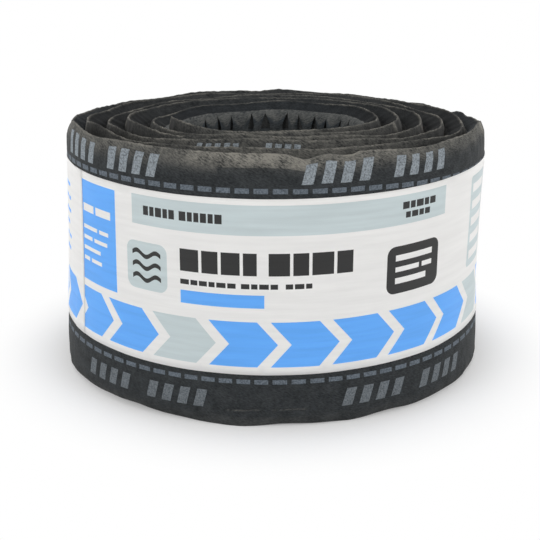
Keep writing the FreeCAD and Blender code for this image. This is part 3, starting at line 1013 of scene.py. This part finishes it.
# %% Wrap the paper
RIPPLES, RIPPLE_LONG, RIPPLE_TALL, RIPPLE_LIFT = 6, (45, 190), (60, 220), 0.12
CURL_MM, CURL_LIFT, CURL_CHANGES = 7, 0.1, 37.0  # the edges stand off a little, here and there
PAPER_LIFT, PAPER_MM = 0.1, 0.25
along, up = cut_points.T
lap = np.clip((along - (stop - LAP - LAP_RAMP)) / LAP_RAMP, 0, 1)
loose = np.clip(np.minimum(along - start, stop - along) / LAP - 1, 0, 1)  # the lap is stuck down
lengths, phases = rng.uniform(*RIPPLE_LONG, RIPPLES), rng.uniform(0, 6, RIPPLES)
heights, offsets = rng.uniform(*RIPPLE_TALL, RIPPLES), rng.uniform(0, 6, RIPPLES)
ripple = sum(
    np.sin(2 * math.pi * along / l + p) * np.sin(2 * math.pi * up / h + q)
    for l, p, h, q in zip(lengths, phases, heights, offsets)
)
curl = CURL_LIFT * (np.exp(-up / CURL_MM) + np.exp(-(TALL - up) / CURL_MM))
curl = curl * (1 + np.sin(along / CURL_CHANGES))
lift = PAPER_LIFT + loose * (RIPPLE_LIFT * ripple + curl) + LAP_LIFT * lap
wrapped = band_point(along, BAND_LOW + up, np.maximum(lift, DIPS))
names = list(inks)
band = piece("printed_paper_band", wrapped, cut_faces, [inks[n] for n in names])
ink_of = [names.index(face_inks[max(ids)]) if ids else 0 for ids in shapes_on]
band.data.polygons.foreach_set("material_index", ink_of)
paper = band.modifiers.new("paper thickness", "SOLIDIFY")
paper.thickness = PAPER_MM * MM
paper.offset = -1.0
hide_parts("label_band")
print("band triangles:", len(cut_faces))

# %% [markdown]
# ## Print on the fabric
# A row of short grey dashes runs along each edge of the mat as a nailing line, and further
# out there are groups of slanted bars. Each mark is a small patch that follows the uneven
# facing just off it, so that it bends with every fold. The last turn has slipped down at the
# right, so there the upper dashes go behind the band.

# %% Patches on the facing
FACING_RADIUS = 228.0  # mean radius of the last turn's facing
INK_OFF, INK_OUT = 0.15, 0.04  # mm off the facing, and towards the nearer edge


def outer_depth(height):
    """Depth of the facing at a height, taken from the section."""
    below = np.minimum(height, WIDTH - height)
    return np.interp(below, EDGE[RIDGE:, 1], EDGE[RIDGE:, 0])


def facing_patch(right, low, long, tall, slant, grid, turns_in=0):
    """A slanted patch on the facing: right of the front and height in mm, columns and rows."""
    u, v = np.meshgrid(*(np.linspace(0, 1, count) for count in grid), indexing="ij")
    radius = FACING_RADIUS - THICK * turns_in
    angle = FRONT - 2 * math.pi * turns_in + (right + u * long + v * slant) / radius
    height = low + v * tall
    nearer_edge = np.sign(height - WIDTH / 2)
    return mat_point(angle, outer_depth(height) + INK_OFF, height + INK_OUT * nearer_edge)


def join_patches(name, patches, grid, ink):
    """One piece from patches with the same grid."""
    one = grid_faces(*grid, closed=False)
    faces = np.concatenate([one + i * math.prod(grid) for i in range(len(patches))])
    return piece(name, np.concatenate([p.reshape(-1, 3) for p in patches]), faces, [ink])


# %% Nailing dashes
DASHES, DASH_TALL, DASH_GRID = 80, 4.6, (7, 3)
DASH_STARTS, DASH_LONG = 0.1, 0.76  # shares of the pitch
DASHES_LOW, DASHES_HIGH = 46.0, 233.8  # height of the two rows
# degrees right of the front, and mm that the upper dashes have slipped there
SLIP_AT = (-180, -75, -30, 0, 20, 52, 100, 180)
SLIP_MM = (0, 0.4, 1.3, 0.6, -0.2, -5.0, -4.0, 0)
dash_pitch = 2 * math.pi * FACING_RADIUS / DASHES
dashes = []
for k in range(DASHES):
    right = -math.pi * FACING_RADIUS + (k + DASH_STARTS) * dash_pitch
    slip = np.interp(math.degrees(right / FACING_RADIUS), SLIP_AT, SLIP_MM)
    for low in (DASHES_LOW, DASHES_HIGH + slip):
        dashes.append(facing_patch(right, low, DASH_LONG * dash_pitch, DASH_TALL, 0, DASH_GRID))
join_patches("nailing_dashes", dashes, DASH_GRID, thin_ink)
print("dashes:", len(dashes))

# %% Slanted bars
BAR, INNER_BAR, BAR_GRID = (10.5, 18.5, 5), (6, 6.5, 1.5), (6, 8)  # length, height and slant in mm
BARS_AT, GROUP_HALF = (0, 18, 36, 54, 90, 108, 126, 144), 80  # mm along a group
# small bars two turns further in: mm right of the front, and below the rim
INNER_BARS_AT, INNER_BELOW = (-78, -68, -58, -48, -39, -6, 3, 12, 21), 9.5


def bar_groups(low, middle, apart):
    """Four groups at a height, by the degrees right of the front of one and those between them."""
    middles = [FACING_RADIUS * math.radians(middle + apart * group) for group in (-2, -1, 0, 1)]
    firsts = [place - GROUP_HALF for place in middles]
    return [facing_patch(first + at, low, *BAR, BAR_GRID) for first in firsts for at in BARS_AT]


upper_bars = bar_groups(242.8, 27, 75)
lower_bars = bar_groups(18.5, 37.5, 73.5)
for right in INNER_BARS_AT:
    upper_bars.append(facing_patch(right, WIDTH - INNER_BELOW, *INNER_BAR, BAR_GRID, turns_in=2))
join_patches("slanted_bars_upper", upper_bars, BAR_GRID, full_ink)
join_patches("slanted_bars_lower", lower_bars, BAR_GRID, half_ink)
print("bars:", len(upper_bars) + len(lower_bars))

# %% [markdown]
# At the foot of the front the hem ends in a line where its fibres have come loose. It is too
# fine for the mat's own mesh, so it is two narrow strips on the facing, most worn along the
# middle and not at all along their edges, where they vanish in the fabric around them.

# %% Worn line at the lower hem
LINES = ((-46, 37), (0, 38))  # mm right of the front, and length
LINE_LOW, LINE_TALL, LINE_SWAY, LINE_GRID = 16.4, 3.2, 0.7, (40, 5)
LINE_WEAR, WORN_ACROSS = 0.24, np.array([0, 0.3, 1, 0.5, 0])
step = np.linspace(0, 1, LINE_GRID[0])[:, None]
lines = [
    facing_patch(right, LINE_LOW + LINE_SWAY * np.sin(3 * step + right), long, LINE_TALL, 0, LINE_GRID)
    for right, long in LINES
]
worn_line = join_patches("worn_line_at_hem", lines, LINE_GRID, fabric)
ragged = np.clip(np.sin(math.pi * step) * 2 + 0.5 * np.sin(23 * step) - 0.3, 0, 1)
along = FRONT * FACING_RADIUS + np.array([right + long * step for right, long in LINES])
across = np.broadcast_to(np.linspace(0, LINE_TALL, LINE_GRID[1]), (len(LINES), *LINE_GRID))
mark_fabric(
    worn_line,
    np.broadcast_to(LINE_WEAR * ragged * WORN_ACROSS, across.shape),
    np.zeros(across.shape),
    np.broadcast_to(along, across.shape),
    across,
)
print("worn line points:", across.size)

# %% [markdown]
# ## Stage, light and camera
# The roll stands on a plain white floor, which takes its shadow near the roll and is plain
# white further off, as the world is. Only what the camera sees, directly or in a gloss, gets
# that white, so it puts no more light on the roll.


# %% Floor
def seen_directly(tree):
    """1 where the camera looks, also by way of a gloss or through something clear."""
    rays = node(tree, "ShaderNodeLightPath")
    seen = rays.outputs["Is Camera Ray"]
    for other in ("Is Glossy Ray", "Is Transmission Ray"):
        either = node(tree, "ShaderNodeMath", {"operation": "MAXIMUM"}, {0: seen, 1: rays.outputs[other]})
        seen = either.outputs["Value"]
    return seen


FLOOR_M, SHADOW_M, WHITE_M = 8, 0.18, 0.34  # half its side, and where it fades from shadow to white
floor_mesh = bpy.data.meshes.new("studio_floor")
corners = [(x * FLOOR_M, y * FLOOR_M, 0) for x, y in ((-1, -1), (1, -1), (1, 1), (-1, 1))]
floor_mesh.from_pydata(corners, [], [(0, 1, 2, 3)])
floor = bpy.data.objects.new("studio_floor", floor_mesh)
bpy.context.scene.collection.objects.link(floor)
floor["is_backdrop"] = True
matte, tree = new_material("matt white studio floor")
near = node(
    tree,
    "ShaderNodeBsdfPrincipled",
    values={"Base Color": linear("#fafafa"), "Roughness": 0.9, "Specular IOR Level": 0.1},
)
far = node(tree, "ShaderNodeEmission", values={"Color": (1, 1, 1, 1), "Strength": 1.0})
where = node(tree, "ShaderNodeTexCoord")
reach = node(
    tree,
    "ShaderNodeVectorMath",
    {"operation": "LENGTH"},
    {0: where.outputs["Object"]},
)
fade = node(
    tree,
    "ShaderNodeMapRange",
    {"interpolation_type": "SMOOTHSTEP"},
    {"Value": reach.outputs["Value"]},
    {"From Min": SHADOW_M, "From Max": WHITE_M},
)
white = node(
    tree,
    "ShaderNodeMath",
    {"operation": "MULTIPLY"},
    {0: seen_directly(tree), 1: fade.outputs["Result"]},
)
mixed = node(
    tree,
    "ShaderNodeMixShader",
    links={0: white.outputs["Value"], 1: near.outputs["BSDF"], 2: far.outputs["Emission"]},
)
node(tree, "ShaderNodeOutputMaterial", links={"Surface": mixed.outputs["Shader"]})
floor_mesh.materials.append(matte)
print("floor:", matte.name)

# %% World
WORLD_LIGHT = 0.28  # what the world adds to the lamps
world = bpy.data.worlds.new("white studio")
bpy.context.scene.world = world
world.use_nodes = True
tree = world.node_tree
tree.nodes.clear()
level = node(
    tree,
    "ShaderNodeMapRange",
    links={"Value": seen_directly(tree)},
    values={"To Min": WORLD_LIGHT, "To Max": 1.0},
)
sky = node(
    tree,
    "ShaderNodeBackground",
    links={"Strength": level.outputs["Result"]},
    values={"Color": (1, 1, 1, 1)},
)
node(tree, "ShaderNodeOutputWorld", links={"Surface": sky.outputs["Background"]})
print("world:", world.name)

# %% [markdown]
# One soft light above and four around give the even light of a product photo, with a little
# more from the front. The camera stands where a fit to the rims and the band's edges puts it:
# about 1.2 m in front of the middle, looking down by 18 degrees.


# %% Lamps
def softbox(name, place, target, size, power):
    """A square area lamp aimed at a point."""
    lamp = bpy.data.lights.new(name, "AREA")
    lamp.size = size
    lamp.energy = power
    made = bpy.data.objects.new(name, lamp)
    made.location = place
    aim = np.array(target) - np.array(place)
    made.rotation_euler = (
        math.atan2(math.hypot(aim[0], aim[1]), -aim[2]),
        0,
        math.atan2(aim[0], -aim[1]) + math.pi,
    )
    bpy.context.scene.collection.objects.link(made)
    made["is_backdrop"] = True


BOX_M, AROUND_M, AROUND_HIGH = 1.4, 2.45, 1.05
# degrees right of the front, and watts
BOXES = {
    "front left": (-55, 24.5),
    "front right": (55, 24),
    "back left": (-140, 14),
    "back right": (140, 14),
}
softbox("overhead softbox", (0.1, -0.2, 2.2), (0, 0, 0.2), BOX_M, 9)
for name, (turn, power) in BOXES.items():
    x, y = AROUND_M * math.sin(math.radians(turn)), -AROUND_M * math.cos(math.radians(turn))
    softbox(f"{name} softbox", (x, y, AROUND_HIGH), (0, 0, 0.15), BOX_M, power)
print("lamps:", len(bpy.data.lights))

# %% Camera
LENS_PX, PHOTO_PX, SENSOR_MM = 1100.0, 540, 36.0
EYE_M, LOOKS_DOWN = (-0.0062, -1.205, 0.481), 18.17  # its place, and degrees below level
camera_data = bpy.data.cameras.new("camera")
camera_data.sensor_width = SENSOR_MM
camera_data.lens = camera_data.sensor_width * LENS_PX / PHOTO_PX
camera = bpy.data.objects.new("camera", camera_data)
camera.location = EYE_M
camera.rotation_euler = (math.radians(90 - LOOKS_DOWN), 0, 0)
bpy.context.scene.collection.objects.link(camera)
bpy.context.scene.camera = camera
bpy.context.scene.view_settings.view_transform = "Standard"
print("lens in mm:", round(camera_data.lens, 1))

# %% Size of the scene, and finish
low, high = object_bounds()
print("visual box in mm:", [round(v / MM, 1) for v in (*low, *high)])
